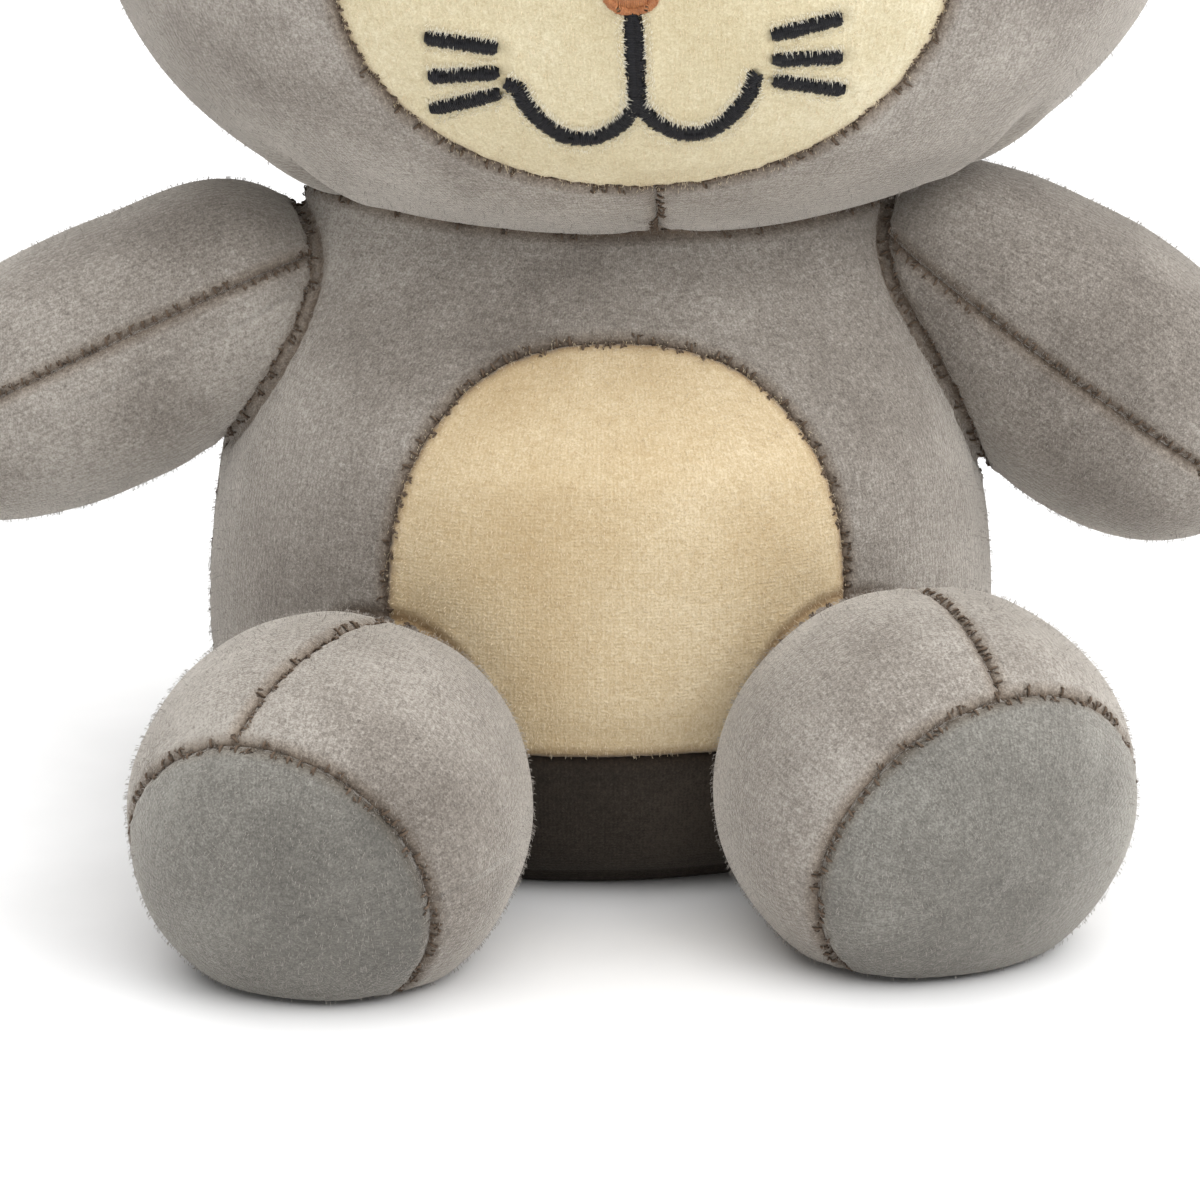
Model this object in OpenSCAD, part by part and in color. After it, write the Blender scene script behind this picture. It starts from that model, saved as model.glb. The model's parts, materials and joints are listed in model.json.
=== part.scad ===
// Sitting plush cat: sewn short-pile panels over fibre stuffing.
// Millimetres. +Z is up, the face looks towards -Y, +X is the cat's left-hand side.
// The origin is the middle of the flat seat, on the surface that the cat sits on.

/* [Fabric and fit] */
// Thickness of the plush fabric with its seam allowance
fabric_t = 1.5; // [1:0.1:2.5]
// Space between the fabric and the stuffing inside it
fill_gap = 0.2; // [0.1:0.05:0.5]
// Running space between bodies that move on each other
joint_gap = 0.4; // [0.3:0.05:0.8]
// How far embroidery stands proud of the fabric
thread_t = 0.8; // [0.4:0.1:1.2]

/* [Torso] */
// Radius of the flat seat
seat_r = 66; // [50:1:67]
// Greatest radius of the belly
belly_r = 82; // [68:1:99]
// Height of the widest part of the belly
belly_z = 45; // [36:1:54]
// Radius of the torso where the neck curve ends
neck_r = 49; // [40:1:58]
// Height where the neck curve ends, inside the head's hollow
neck_z = 150; // [136:1:156]
// How far the front and the back curve are each moved in, to meet at the side seams
side_pinch = 12; // [0:1:20]
// Height of the base panel's top seam
base_seam_z = 31; // [20:1:40]
// Half width of the tummy panel
tummy_w = 46.5; // [36:0.5:54]
// Height of the top of the tummy panel
tummy_top_z = 110; // [95:1:118]
// Height where the tummy panel starts to round over
tummy_side_z = 60; // [45:1:75]
// Radius of the pellet bag in the seat
pellet_r = 46; // [30:1:50]
// Thickness of the pellet bag
pellet_h = 22; // [14:1:26]

/* [Head] */
// Half width of the head
head_w = 110; // [95:1:125]
// Half height and half depth of the head
head_h = 78; // [65:1:84]
// Height of the underside of the head
chin_z = 122; // [116:1:128]
// Sideways place of the head's centre
head_x = 8; // [-12:1:12]
// Tilt of the head, its left side up
head_roll = 3; // [-6:0.5:6]
// Turn of the head towards its right
head_yaw = 3.4; // [-6:0.2:6]
// Half width of the cream muzzle
muzzle_w = 60; // [48:1:66]
// Height of the muzzle below its widest line
muzzle_low = 50; // [40:1:58]
// Height of the muzzle above its widest line
muzzle_high = 30; // [20:1:40]
// Width of the nose
nose_w = 11; // [8:0.5:16]
// Height of the nose
nose_h = 9; // [6:0.5:12]
// Radius of each half of the mouth, to the middle of its thread
smile_r = 12; // [8:0.5:16]
// Width of the mouth's satin stitch
mouth_t = 2.8; // [1.5:0.1:4]
// Length of a whisker
whisker_l = 14; // [8:0.5:20]
// Width of a whisker
whisker_t = 2.4; // [1.2:0.1:3.5]
// Half width of an eye
eye_w = 7; // [4:0.5:10]
// Half height of an eye
eye_h = 8; // [4:0.5:11]
// Distance of each eye from the middle of the face
eye_x = 38; // [30:1:46]

/* [Ears] */
// Width of an ear at its base
ear_w = 56; // [40:1:64]
// Height of an ear
ear_h = 44; // [30:1:60]
// Thickness of each of the ear's two layers
ear_t = 3.5; // [2:0.5:5]
// Distance of each ear's middle from the middle of the head
ear_x = 62; // [52:1:74]

/* [Arms] */
// Greatest radius of an arm
arm_r = 27.5; // [22:0.5:33]
// Length of an arm from its shoulder
arm_l = 80; // [64:1:98]
// Radius of the arm's round root in the shoulder
arm_root_r = 24; // [18:0.5:26]
// How far each shoulder stands out of the torso's side
shoulder_out = 4; // [3:0.5:8]
// How far the full part of an arm is tucked in towards its shoulder
shoulder_tuck = 23.5; // [18:0.5:25]
// Height of the right shoulder
right_shoulder_z = 105; // [100:1:110]
// Height of the left shoulder
left_shoulder_z = 107; // [100:1:110]
// Slope of the right arm below level
right_arm_drop = 20; // [0:1:24]
// Slope of the left arm below level
left_arm_drop = 31; // [0:1:33]

/* [Legs] */
// Greatest radius of a leg
leg_r = 38; // [30:0.5:40]
// Length of a leg from its hip
leg_l = 69; // [56:1:84]
// Radius of the leg's round root in the hip
leg_root_r = 28; // [22:0.5:30]
// How far each hip stands out of the torso's front
hip_out = 3; // [2:0.5:8]
// Distance from a hip to the plane of the seam of the sole
sole_s = 54; // [44:1:60]
// Turn of each sole outwards from square across its leg
sole_lean = 9; // [0:1:20]
// Turn of each sole downwards from square across its leg
sole_dip = 5; // [0:1:15]
// Slope of both legs below level
leg_drop = 11; // [0:0.5:14]
// Turn of the right leg away from straight ahead
right_leg_splay = 16.5; // [10:0.5:30]
// Turn of the left leg away from straight ahead
left_leg_splay = 18.5; // [10:0.5:30]

/* [Tail] */
// Greatest radius of the tail
tail_r = 13; // [10:0.5:16]
// Length of the tail from its root
tail_l = 88; // [60:1:110]
// Radius of the tail's round root
tail_root_r = 14; // [12:0.5:17]
// Height of the tail's root
tail_z = 30; // [26:1:40]
// How far the tail's root stands out of the torso's back
tail_out = 3; // [2:0.5:6]
// Rise of the tail above level
tail_rise = 30; // [15:1:45]

/* [Hidden] */
$fn = 96;

right = -1;
left = 1;
front = -1;
back = 1;
big = 400;
fill_t = fabric_t + fill_gap;
profile_steps = 9;
head_steps = 12;
limb_steps = 8;
head_power = 2.2;
limb_power = 2.3;
tummy_power = 2.4;
head_z = chin_z + head_h;
leg_start = 6;
front_r = sqrt(pow(belly_r, 2) + pow(side_pinch, 2));
hip_angle = 34;
hip_x = (front_r + hip_out) * sin(hip_angle);
hip_y = side_pinch - (front_r + hip_out) * cos(hip_angle);
hip_z = leg_r;
shoulder_y = -2;
face_z = -9;
eye_z = -3;
nose_z = 2;
smile_z = -21;
whisker_rows = [-4, -12, -20];
whisker_fan = [-6, 6, 16];
ear_height_on_head = 4;
tail_start = 5;
tail_y = front_r - side_pinch + tail_out;
grey = [0.55, 0.52, 0.49];
cream = [0.87, 0.80, 0.68];
fibre = [0.96, 0.96, 0.94];

// Torso

function belly_curve(z) = seat_r + (belly_r - seat_r) * sqrt(max(0, 1 - pow((belly_z - z) / belly_z, 2)));
function neck_curve(z) = neck_r + (belly_r - neck_r) * cos(90 * (z - belly_z) / (neck_z - belly_z));

module torso_curve(inset) {
    lower = [for (i = [0 : profile_steps]) inset + (belly_z - inset) * (1 - cos(90 * i / profile_steps))];
    upper = [for (i = [1 : profile_steps]) belly_z + (neck_z - belly_z) * i / profile_steps];
    side = concat([for (z = lower) [belly_curve(z), z]], [for (z = upper) [neck_curve(z), z]]);
    outline = [for (p = side) [sqrt(pow(p[0], 2) + pow(side_pinch, 2)) - inset, p[1]]];
    rotate_extrude() polygon(concat([[0, inset]], outline, [[0, neck_z]]));
}

module torso_half(facing, inset) {
    intersection() {
        translate([0, -facing * side_pinch, 0]) torso_curve(inset);
        translate([-big, facing < 0 ? -big : 0, 0]) cube([2 * big, big, big]);
    }
}

module torso_solid(inset) {
    torso_half(front, inset);
    torso_half(back, inset);
}

module socket(root_r) {
    rotate([90, -90, 0]) sphere(r = root_r);
}

module torso_cuts(space) {
    head_solid(space);
    for (side = [right, left]) {
        place_arm(side) socket(arm_root_r + space);
        place_leg(side) socket(leg_root_r + space);
    }
    place_tail() rotate([0, 0, 90]) socket(tail_root_r + space);
}

module torso_shell(facing) {
    difference() {
        torso_half(facing, 0);
        torso_half(facing, fabric_t);
        torso_cuts(joint_gap);
    }
}

module above_base() {
    translate([-big, -big, base_seam_z]) cube([2 * big, 2 * big, big]);
}

module tummy_prism() {
    arch = [for (a = [0 : 10 : 180])
        [tummy_w * sign(cos(a)) * pow(abs(cos(a)), 2 / tummy_power),
         tummy_side_z + (tummy_top_z - tummy_side_z) * pow(sin(a), 2 / tummy_power)]];
    outline = concat(arch, [[-tummy_w, base_seam_z], [tummy_w, base_seam_z]]);
    rotate([90, 0, 0]) linear_extrude(big) polygon(outline);
}

module torso_front_panel() color(grey) {
    difference() {
        intersection() {
            torso_shell(front);
            above_base();
        }
        tummy_prism();
    }
}

module tummy_panel() color(cream) {
    intersection() {
        torso_shell(front);
        tummy_prism();
    }
}

module torso_back(side) color(grey) {
    intersection() {
        torso_shell(back);
        above_base();
        translate([side < 0 ? -big : 0, 0, 0]) cube([big, big, big]);
    }
}

module base_panel() color(grey * 0.8) {
    difference() {
        union() {
            torso_shell(front);
            torso_shell(back);
        }
        above_base();
    }
}

module pellet_solid(grow) {
    translate([0, 0, fill_t + pellet_h / 2]) rotate_extrude() {
        intersection() {
            union() {
                translate([0, -pellet_h / 2 - grow]) square([pellet_r - pellet_h / 2, pellet_h + 2 * grow]);
                translate([pellet_r - pellet_h / 2, 0]) circle(r = pellet_h / 2 + grow);
            }
            translate([0, -big]) square([big, 2 * big]);
        }
    }
}

module torso_stuffing() color(fibre) {
    difference() {
        torso_solid(fill_t);
        torso_cuts(joint_gap + fill_t);
        pellet_solid(fill_gap);
    }
}

module pellet_bag() color("tan") {
    pellet_solid(0);
}

// Head

function head_radius(x, w, h) = h * pow(max(0, 1 - pow(abs(x) / w, head_power)), 1 / head_power);

module place_head() {
    translate([head_x, 2, head_z]) rotate([0, -head_roll, -head_yaw]) children();
}

module head_shape(grow) {
    w = head_w + grow;
    h = head_h + grow;
    stations = [for (i = [-head_steps : head_steps]) w * sin(90 * i / head_steps)];
    rotate([0, 90, 0]) rotate_extrude() polygon([for (x = stations) [head_radius(x, w, h), x]]);
}

module head_solid(grow) {
    place_head() head_shape(grow);
}

module head_shell() {
    difference() {
        head_shape(0);
        head_shape(-fabric_t);
    }
}

module muzzle_prism() {
    low = [for (a = [180 : 10 : 360]) [muzzle_w * cos(a), face_z + muzzle_low * sin(a)]];
    high = [for (a = [10 : 10 : 170]) [muzzle_w * cos(a), face_z + muzzle_high * sin(a)]];
    rotate([90, 0, 0]) linear_extrude(big) polygon(concat(low, high));
}

module head_front(side) color(grey) {
    place_head() difference() {
        intersection() {
            head_shell();
            translate([side < 0 ? -big : 0, -big, -big]) cube([big, big, 2 * big]);
        }
        muzzle_prism();
    }
}

module muzzle_panel() color(cream) {
    place_head() intersection() {
        head_shell();
        muzzle_prism();
    }
}

module head_back(side) color(grey) {
    place_head() intersection() {
        head_shell();
        translate([side < 0 ? -big : 0, 0, -big]) cube([big, big, 2 * big]);
    }
}

module head_stuffing() color(fibre) {
    head_solid(-fill_t);
}

// Embroidery: a flat outline carried along the face and kept in a thin layer on the fabric

module embroider() {
    place_head() intersection() {
        difference() {
            head_shape(thread_t);
            head_shape(0);
        }
        rotate([90, 0, 0]) linear_extrude(big) children();
    }
}

module nose() color([0.45, 0.28, 0.2]) {
    embroider() translate([0, nose_z]) scale([1, nose_h / nose_w]) circle(d = nose_w);
}

module smile_half(side) {
    translate([side * smile_r, smile_z]) difference() {
        circle(r = smile_r + mouth_t / 2);
        circle(r = smile_r - mouth_t / 2);
        translate([-big, 0]) square(2 * big);
    }
}

module mouth() color([0.06, 0.06, 0.07]) {
    lip_top = nose_z - nose_h / 2 - joint_gap;
    embroider() union() {
        translate([-mouth_t / 2, smile_z]) square([mouth_t, lip_top - smile_z]);
        smile_half(right);
        smile_half(left);
    }
}

module whiskers(side) color([0.06, 0.06, 0.07]) {
    inner_x = 2 * smile_r + mouth_t + 3;
    embroider() for (i = [0 : 2])
        translate([side * inner_x, whisker_rows[i]])
            rotate(side < 0 ? 180 + whisker_fan[i] : -whisker_fan[i])
                translate([0, -whisker_t / 2]) square([whisker_l, whisker_t]);
}

module eye(side) color([0.06, 0.06, 0.07]) {
    embroider() translate([side * eye_x, muzzle_high + eye_z]) scale([1, eye_h / eye_w]) circle(r = eye_w);
}

// Ears: two layers sewn round the edge, hinged on the round bar of their base

module place_ear(side) {
    top_r = head_radius(ear_x, head_w, head_h);
    lean = atan2(top_r - head_radius(ear_x + 1, head_w, head_h), 1);
    place_head() translate([side * ear_x, ear_height_on_head, top_r])
        rotate([0, side * lean, 0]) translate([0, 0, ear_t + joint_gap]) children();
}

module ear_outline() {
    side_r = ear_w * 1.02;
    intersection() {
        translate([side_r - ear_w / 2, 0]) circle(r = side_r);
        translate([ear_w / 2 - side_r, 0]) circle(r = side_r);
        translate([-ear_w / 2, 0]) square([ear_w, ear_h]);
    }
}

module ear_blade() {
    rotate([90, 0, 0]) linear_extrude(2 * ear_t, center = true) ear_outline();
    rotate([0, 90, 0]) cylinder(r = ear_t, h = ear_w * 0.9, center = true);
}

module ear_half(side, front) {
    place_ear(side) intersection() {
        ear_blade();
        translate([-big, front ? -big : 0, -big]) cube([2 * big, big, 2 * big]);
    }
}

// Arms and legs: a round root in its socket and a full, round-ended body along +Z

module limb_solid(root_r, start, length, body_r, inset) {
    middle = (start + length) / 2;
    half = (length - start) / 2 - inset;
    wide = body_r - inset;
    stations = [for (i = [-limb_steps : limb_steps]) sin(90 * i / limb_steps)];
    body = [for (t = stations) [wide * pow(max(0, 1 - pow(abs(t), limb_power)), 1 / limb_power), middle + half * t]];
    sphere(r = root_r - inset);
    rotate_extrude() polygon(body);
}

function shoulder_z(side) = side < 0 ? right_shoulder_z : left_shoulder_z;

module place_arm(side) {
    drop = side < 0 ? right_arm_drop : left_arm_drop;
    height = shoulder_z(side);
    shoulder_x = side * (neck_curve(height) + shoulder_out);
    translate([shoulder_x, shoulder_y, height]) rotate([0, side * (90 + drop), 0]) children();
}

// The full part starts further out where the torso widens more below the shoulder
function arm_start(height) = arm_r + neck_curve(height - arm_r) - neck_curve(height) - shoulder_tuck;

module arm_solid(side, inset) {
    limb_solid(arm_root_r, arm_start(shoulder_z(side)), arm_l, arm_r, inset);
}

module arm_panel(side, upper) color(grey) {
    above = (side < 0) == upper;
    place_arm(side) intersection() {
        difference() {
            arm_solid(side, 0);
            arm_solid(side, fabric_t);
        }
        translate([above ? 0 : -big, -big, -big]) cube([big, 2 * big, 2 * big]);
    }
}

module arm_stuffing(side) color(fibre) {
    place_arm(side) arm_solid(side, fill_t);
}

module place_leg(side) {
    splay = side < 0 ? right_leg_splay : left_leg_splay;
    translate([side * hip_x, hip_y, hip_z]) rotate([0, 0, side * splay]) rotate([90 + leg_drop, 0, 0]) children();
}

module leg_solid(inset) {
    limb_solid(leg_root_r, leg_start, leg_l, leg_r, inset);
}

module above_floor(lift) {
    translate([-big, -big, lift]) cube([2 * big, 2 * big, big]);
}

module leg_shell(side) {
    difference() {
        intersection() {
            place_leg(side) leg_solid(0);
            above_floor(0);
        }
        intersection() {
            place_leg(side) leg_solid(fabric_t);
            above_floor(fabric_t);
        }
    }
}

module beyond_sole(side) {
    place_leg(side) rotate([sole_dip, side * sole_lean, 0])
        translate([-big, -big, sole_s]) cube([2 * big, 2 * big, big]);
}

module leg_upper(side, outer) color(grey) {
    outward = (side > 0) == outer;
    difference() {
        intersection() {
            leg_shell(side);
            place_leg(side) translate([outward ? 0 : -big, -big, -big]) cube([big, 2 * big, 2 * big]);
        }
        beyond_sole(side);
    }
}

module leg_sole(side) color(grey * 0.95) {
    intersection() {
        leg_shell(side);
        beyond_sole(side);
    }
}

module leg_stuffing(side) color(fibre) {
    intersection() {
        place_leg(side) leg_solid(fill_t);
        above_floor(fill_t);
    }
}

// Tail: behind the seat, rising away from it

module place_tail() {
    translate([0, tail_y, tail_z]) rotate([tail_rise - 90, 0, 0]) children();
}

module tail_solid(inset) {
    limb_solid(tail_root_r, tail_start, tail_l, tail_r, inset);
}

module tail_half(side) color(grey) {
    place_tail() intersection() {
        difference() {
            tail_solid(0);
            tail_solid(fabric_t);
        }
        translate([side < 0 ? -big : 0, -big, -big]) cube([big, 2 * big, 2 * big]);
    }
}

module tail_stuffing() color(fibre) {
    place_tail() tail_solid(fill_t);
}

torso_front_panel();
tummy_panel();
torso_back(right);  // torso_back_right
torso_back(left);  // torso_back_left
base_panel();
torso_stuffing();
pellet_bag();
head_front(right);  // head_front_right
head_front(left);  // head_front_left
muzzle_panel();
head_back(right);  // head_back_right
head_back(left);  // head_back_left
head_stuffing();
nose();
mouth();
whiskers(right);  // whiskers_right
whiskers(left);  // whiskers_left
eye(right);  // eye_right
eye(left);  // eye_left
color(cream) ear_half(right, true);  // ear_right_front
color(grey) ear_half(right, false);  // ear_right_back
color(cream) ear_half(left, true);  // ear_left_front
color(grey) ear_half(left, false);  // ear_left_back
arm_panel(right, true);  // arm_right_upper
arm_panel(right, false);  // arm_right_under
arm_stuffing(right);  // arm_right_stuffing
arm_panel(left, true);  // arm_left_upper
arm_panel(left, false);  // arm_left_under
arm_stuffing(left);  // arm_left_stuffing
leg_upper(right, true);  // leg_right_outer
leg_upper(right, false);  // leg_right_inner
leg_sole(right);  // leg_right_sole
leg_stuffing(right);  // leg_right_stuffing
leg_upper(left, true);  // leg_left_outer
leg_upper(left, false);  // leg_left_inner
leg_sole(left);  // leg_left_sole
leg_stuffing(left);  // leg_left_stuffing
tail_half(right);  // tail_right
tail_half(left);  // tail_left
tail_stuffing();
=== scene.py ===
import json
import math
import random

import bmesh
import bpy
import numpy as np
from mathutils import Matrix, Vector
from mathutils.bvhtree import BVHTree
from mathutils.kdtree import KDTree


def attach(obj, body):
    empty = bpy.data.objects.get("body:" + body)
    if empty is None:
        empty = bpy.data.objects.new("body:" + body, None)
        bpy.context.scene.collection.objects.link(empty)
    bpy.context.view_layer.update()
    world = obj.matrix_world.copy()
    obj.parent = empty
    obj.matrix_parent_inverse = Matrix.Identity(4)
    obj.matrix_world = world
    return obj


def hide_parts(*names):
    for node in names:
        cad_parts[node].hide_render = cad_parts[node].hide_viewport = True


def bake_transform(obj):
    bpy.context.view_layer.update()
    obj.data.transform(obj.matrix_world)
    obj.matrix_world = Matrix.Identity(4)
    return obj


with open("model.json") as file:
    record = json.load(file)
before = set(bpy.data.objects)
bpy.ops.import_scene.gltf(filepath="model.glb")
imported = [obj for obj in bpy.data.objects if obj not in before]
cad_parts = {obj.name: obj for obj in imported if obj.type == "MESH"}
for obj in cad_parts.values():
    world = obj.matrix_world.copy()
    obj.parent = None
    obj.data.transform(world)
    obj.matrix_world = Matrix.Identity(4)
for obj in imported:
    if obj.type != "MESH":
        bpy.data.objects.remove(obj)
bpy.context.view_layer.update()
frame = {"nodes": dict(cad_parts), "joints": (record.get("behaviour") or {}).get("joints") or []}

# Meshes are worked out in millimetres and written in metres.
MM = 0.001
RIGHT, LEFT = -1, 1
SIDE_NAME = {RIGHT: "right", LEFT: "left"}

CLOTH_T = 1.2            # thickness of the modelled fabric
FILL_T = 3.0             # how far the stuffing lies under the fabric
STITCH_PITCH = 2.7
GRID = 1.35              # spacing of the skins' vertices
X, Y, Z = np.eye(3)


# ---- Places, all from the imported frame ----

def unit(v):
    return np.asarray(v, float) / np.linalg.norm(v)


def node_points(*names):
    clouds = []
    for name in names:
        mesh = frame["nodes"][name].data
        co = np.empty(len(mesh.vertices) * 3, np.float32)
        mesh.vertices.foreach_get("co", co)
        clouds.append(co.reshape(-1, 3))
    return np.vstack(clouds).astype(float) / MM


def node_box(*names):
    points = node_points(*names)
    return points.min(0), points.max(0)


JOINTS = {joint["name"]: joint for joint in frame["joints"]}


def pivot_of(name):
    return np.array(JOINTS[name]["pos_m"]) / MM


class Place:
    """A local frame: its origin, and its axes as the rows of a matrix."""

    def __init__(self, origin, x_axis, z_hint):
        self.origin = np.asarray(origin, float)
        x = unit(x_axis)
        y = unit(np.cross(z_hint, x))
        self.axes = np.array([x, y, np.cross(x, y)])

    def world(self, points):
        return self.origin + np.asarray(points, float) @ self.axes

    def local(self, points):
        return (np.asarray(points, float) - self.origin) @ self.axes.T


def limb_place(pivot, *nodes):
    """Local Z runs out along the limb, from its pivot through the middle of its nodes."""
    low, high = node_box(*nodes)
    return limb_towards(pivot, unit((low + high) / 2 - pivot))


def limb_towards(pivot, out):
    side = unit(np.cross(out, Z)) if abs(out[2]) < 0.99 else X
    return Place(pivot, side, out)


HEAD = Place(pivot_of("head_nod"), JOINTS["head_nod"]["axis"], Z)
head_low, head_high = (f(HEAD.local(node_points("head_back_left", "head_back_right", "head_front_left")), 0)
                       for f in (np.min, np.max))
HEAD_W, HEAD_H = head_high[0], head_high[2]
torso_low, torso_high = node_box("torso_front_panel", "torso_back_left", "torso_back_right", "base_panel")
TORSO_W = torso_high[0]
TORSO_D = -torso_low[1]
BASE_SEAM_Z = node_box("base_panel")[1][2]
TOP_Z = torso_high[2]
tummy_low, tummy_high = node_box("tummy_panel")
muzzle_low, muzzle_high = (f(HEAD.local(node_points("muzzle_panel")), 0) for f in (np.min, np.max))


# ---- Mesh helpers ----

def smoothstep(t):
    t = np.clip(t, 0, 1)
    return t * t * (3 - 2 * t)


def bump(distance, width):
    return np.exp(-(distance / width) ** 2)


def closed_rings(rings):
    """A bmesh from rings of points; a ring of one point is a pole."""
    bm = bmesh.new()
    rows = [[bm.verts.new(p) for p in ring] for ring in rings]
    for a, b in zip(rows, rows[1:]):
        n = max(len(a), len(b))
        for i in range(n):
            j = (i + 1) % n
            if len(a) == 1:
                bm.faces.new((a[0], b[j], b[i]))
            elif len(b) == 1:
                bm.faces.new((a[i], a[j], b[0]))
            else:
                bm.faces.new((a[i], a[j], b[j], b[i]))
    bmesh.ops.recalc_face_normals(bm, faces=bm.faces)
    bm.verts.index_update()
    return bm


def revolve(place, stations, radii, shape=lambda s, angle: 1.0, spacing=GRID):
    """Rings round the local Z axis, with a radius at each station that `shape` may change round the ring."""
    count = int(max(24, 2 * math.pi * max(radii) / spacing))
    angles = np.arange(count) * 2 * math.pi / count
    rings = []
    for i, (s, r) in enumerate(zip(stations, radii)):
        if i in (0, len(stations) - 1):
            rings.append(place.world([[0, 0, s]]))
            continue
        scale = np.array([shape(s, a) for a in angles]) * r
        rings.append(place.world(np.c_[scale * np.cos(angles), scale * np.sin(angles), np.full(count, s)]))
    return closed_rings(rings)


def even_profile(outline, spacing):
    """Points at an even spacing along an outline of (station, radius)."""
    outline = np.array(outline, float)
    length = np.r_[0, np.cumsum(np.hypot(*np.diff(outline, axis=0).T))]
    count = int(length[-1] / spacing) + 1
    at = np.linspace(0, length[-1], count)
    return np.interp(at, length, outline[:, 0]), np.interp(at, length, outline[:, 1])


def coords(bm):
    return np.array([v.co for v in bm.verts], float).reshape(-1, 3)


def set_coords(bm, points):
    for v, p in zip(bm.verts, points):
        v.co = p
    bm.normal_update()


def normals(bm):
    return np.array([v.normal for v in bm.verts], float).reshape(-1, 3)


def cut_level(bm, level):
    """Cuts the mesh along level(points) = 0, so that no face crosses it. Vertices close to the line move onto it."""
    value = level(coords(bm))
    bm.verts.index_update()
    for e in bm.edges:
        a, b = e.verts
        va, vb = value[a.index], value[b.index]
        if va * vb < 0:
            t = va / (va - vb)
            if t < 0.15:
                a.co, value[a.index] = a.co.lerp(b.co, t), 0.0
            elif t > 0.85:
                b.co, value[b.index] = a.co.lerp(b.co, t), 0.0
    on_line = [v for v in bm.verts if value[v.index] == 0.0]
    crossing = []
    for e in bm.edges:
        a, b = e.verts
        va, vb = value[a.index], value[b.index]
        if va * vb < 0:
            crossing.append((e, a, va / (va - vb)))
    for e, a, t in crossing:
        on_line.append(bmesh.utils.edge_split(e, a, t)[1])
    bmesh.ops.connect_verts(bm, verts=on_line)
    bm.verts.index_update()
    bm.normal_update()


def bvh(bm):
    return BVHTree.FromBMesh(bm)


def signed_distance(tree, points):
    """Distance to a closed surface, below 0 inside it."""
    out = np.empty(len(points))
    for i, p in enumerate(points):
        hit, normal, _, distance = tree.find_nearest(Vector(p))
        out[i] = math.copysign(distance, (Vector(p) - hit).dot(normal))
    return out


class Seam:
    """Runs of points along a seam, with the distance along each, for grooves and stitches."""

    def __init__(self, runs):
        self.runs = [np.array(run, float) for run in runs if len(run) > 2]
        dense = []
        for run in self.runs:
            along = np.r_[0, np.cumsum(np.linalg.norm(np.diff(run, axis=0), axis=1))]
            at = np.arange(0, along[-1], 0.6)
            dense.append(np.c_[[np.interp(at, along, run[:, k]) for k in range(3)] + [at]].T)
        self.samples = np.vstack(dense) if dense else np.zeros((0, 4))
        self.tree = KDTree(len(self.samples))
        for i, s in enumerate(self.samples):
            self.tree.insert(s[:3], i)
        self.tree.balance()

    def nearest(self, points):
        """Distance to the seam and place along it, for each point."""
        distance, along = np.full(len(points), 1e3), np.zeros(len(points))
        if len(self.samples):
            for i, p in enumerate(points):
                _, k, d = self.tree.find(p)
                distance[i], along[i] = d, self.samples[k, 3]
        return distance, along


def chain(edges):
    """Ordered runs of points from loose edges."""
    links = {}
    for e in edges:
        a, b = e.verts
        links.setdefault(a, []).append(b)
        links.setdefault(b, []).append(a)
    used, runs = set(), []
    ends = [v for v in links if len(links[v]) != 2]
    for start in ends + list(links):
        for nxt in links[start]:
            if frozenset((start, nxt)) in used:
                continue
            run, before, here = [tuple(start.co)], start, nxt
            used.add(frozenset((start, nxt)))
            while True:
                run.append(tuple(here.co))
                if len(links[here]) != 2:
                    break
                after = links[here][0] if links[here][1] is before else links[here][1]
                if frozenset((here, after)) in used:
                    break
                used.add(frozenset((here, after)))
                before, here = here, after
            runs.append(run)
    return [run for run in runs if len(run) > 4]


def panel_seams(bm, panel):
    """The seams between panels, keyed by the pair; panel(centres) gives each face's panel number."""
    ids = panel(np.array([f.calc_center_median() for f in bm.faces], float))
    layer = bm.faces.layers.int.new("panel")
    for f, k in zip(bm.faces, ids):
        f[layer] = int(k)
    edges = {}
    for e in bm.edges:
        if len(e.link_faces) == 2:
            pair = tuple(sorted(f[layer] for f in e.link_faces))
            if pair[0] != pair[1]:
                edges.setdefault(pair, []).append(e)
    return {pair: Seam(smooth_runs(chain(es))) for pair, es in edges.items()}


def smooth_runs(runs, passes=3):
    out = []
    for run in runs:
        run = np.array(run, float)
        for _ in range(passes):
            run[1:-1] = (run[:-2] + 2 * run[1:-1] + run[2:]) / 4
        out.append(run)
    return out


def waves(along, seed, pitches=(2.7, 5.9, 11.0), weights=(0.35, 0.35, 0.3)):
    """A smooth uneven ripple, from -1 to 1, along a seam."""
    dice = random.Random(seed)
    total = np.zeros(len(along))
    for pitch, weight in zip(pitches, weights):
        phase = dice.uniform(0, 2 * math.pi)
        wander = 1.3 * np.sin(along / (pitch * 4.3) + dice.uniform(0, 6))
        total += weight * np.sin(2 * math.pi * along / pitch + phase + wander)
    return total


def sew(bm, seams, depth=1.0, pull=0.9, reach=6.5, pucker=0.32, seed=1):
    """Pulls the surface in along seams: a narrow groove, a wide soft valley and puckers that fade out from it."""
    points, normal = coords(bm), normals(bm)
    shift = np.zeros(len(points))
    near = np.full(len(points), 1e3)
    for k, seam in enumerate(seams):
        distance, along = seam.nearest(points)
        valley = pull * bump(distance, reach)
        groove = depth * bump(distance, 1.05)
        ripple = pucker * waves(along, seed + k) * bump(distance - 2.0, 2.6)
        lip = 0.28 * bump(distance - 2.3, 0.9)
        shift = np.maximum(shift, valley + groove) + ripple - lip
        near = np.minimum(near, distance)
    set_coords(bm, points - normal * shift[:, None])
    # seam_mm is the distance to the nearest seam; the plush material uses it to paint shade in the seams
    layer = bm.verts.layers.float.new("seam_mm")
    for v, d in zip(bm.verts, near):
        v[layer] = min(float(d), 30.0)


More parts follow.
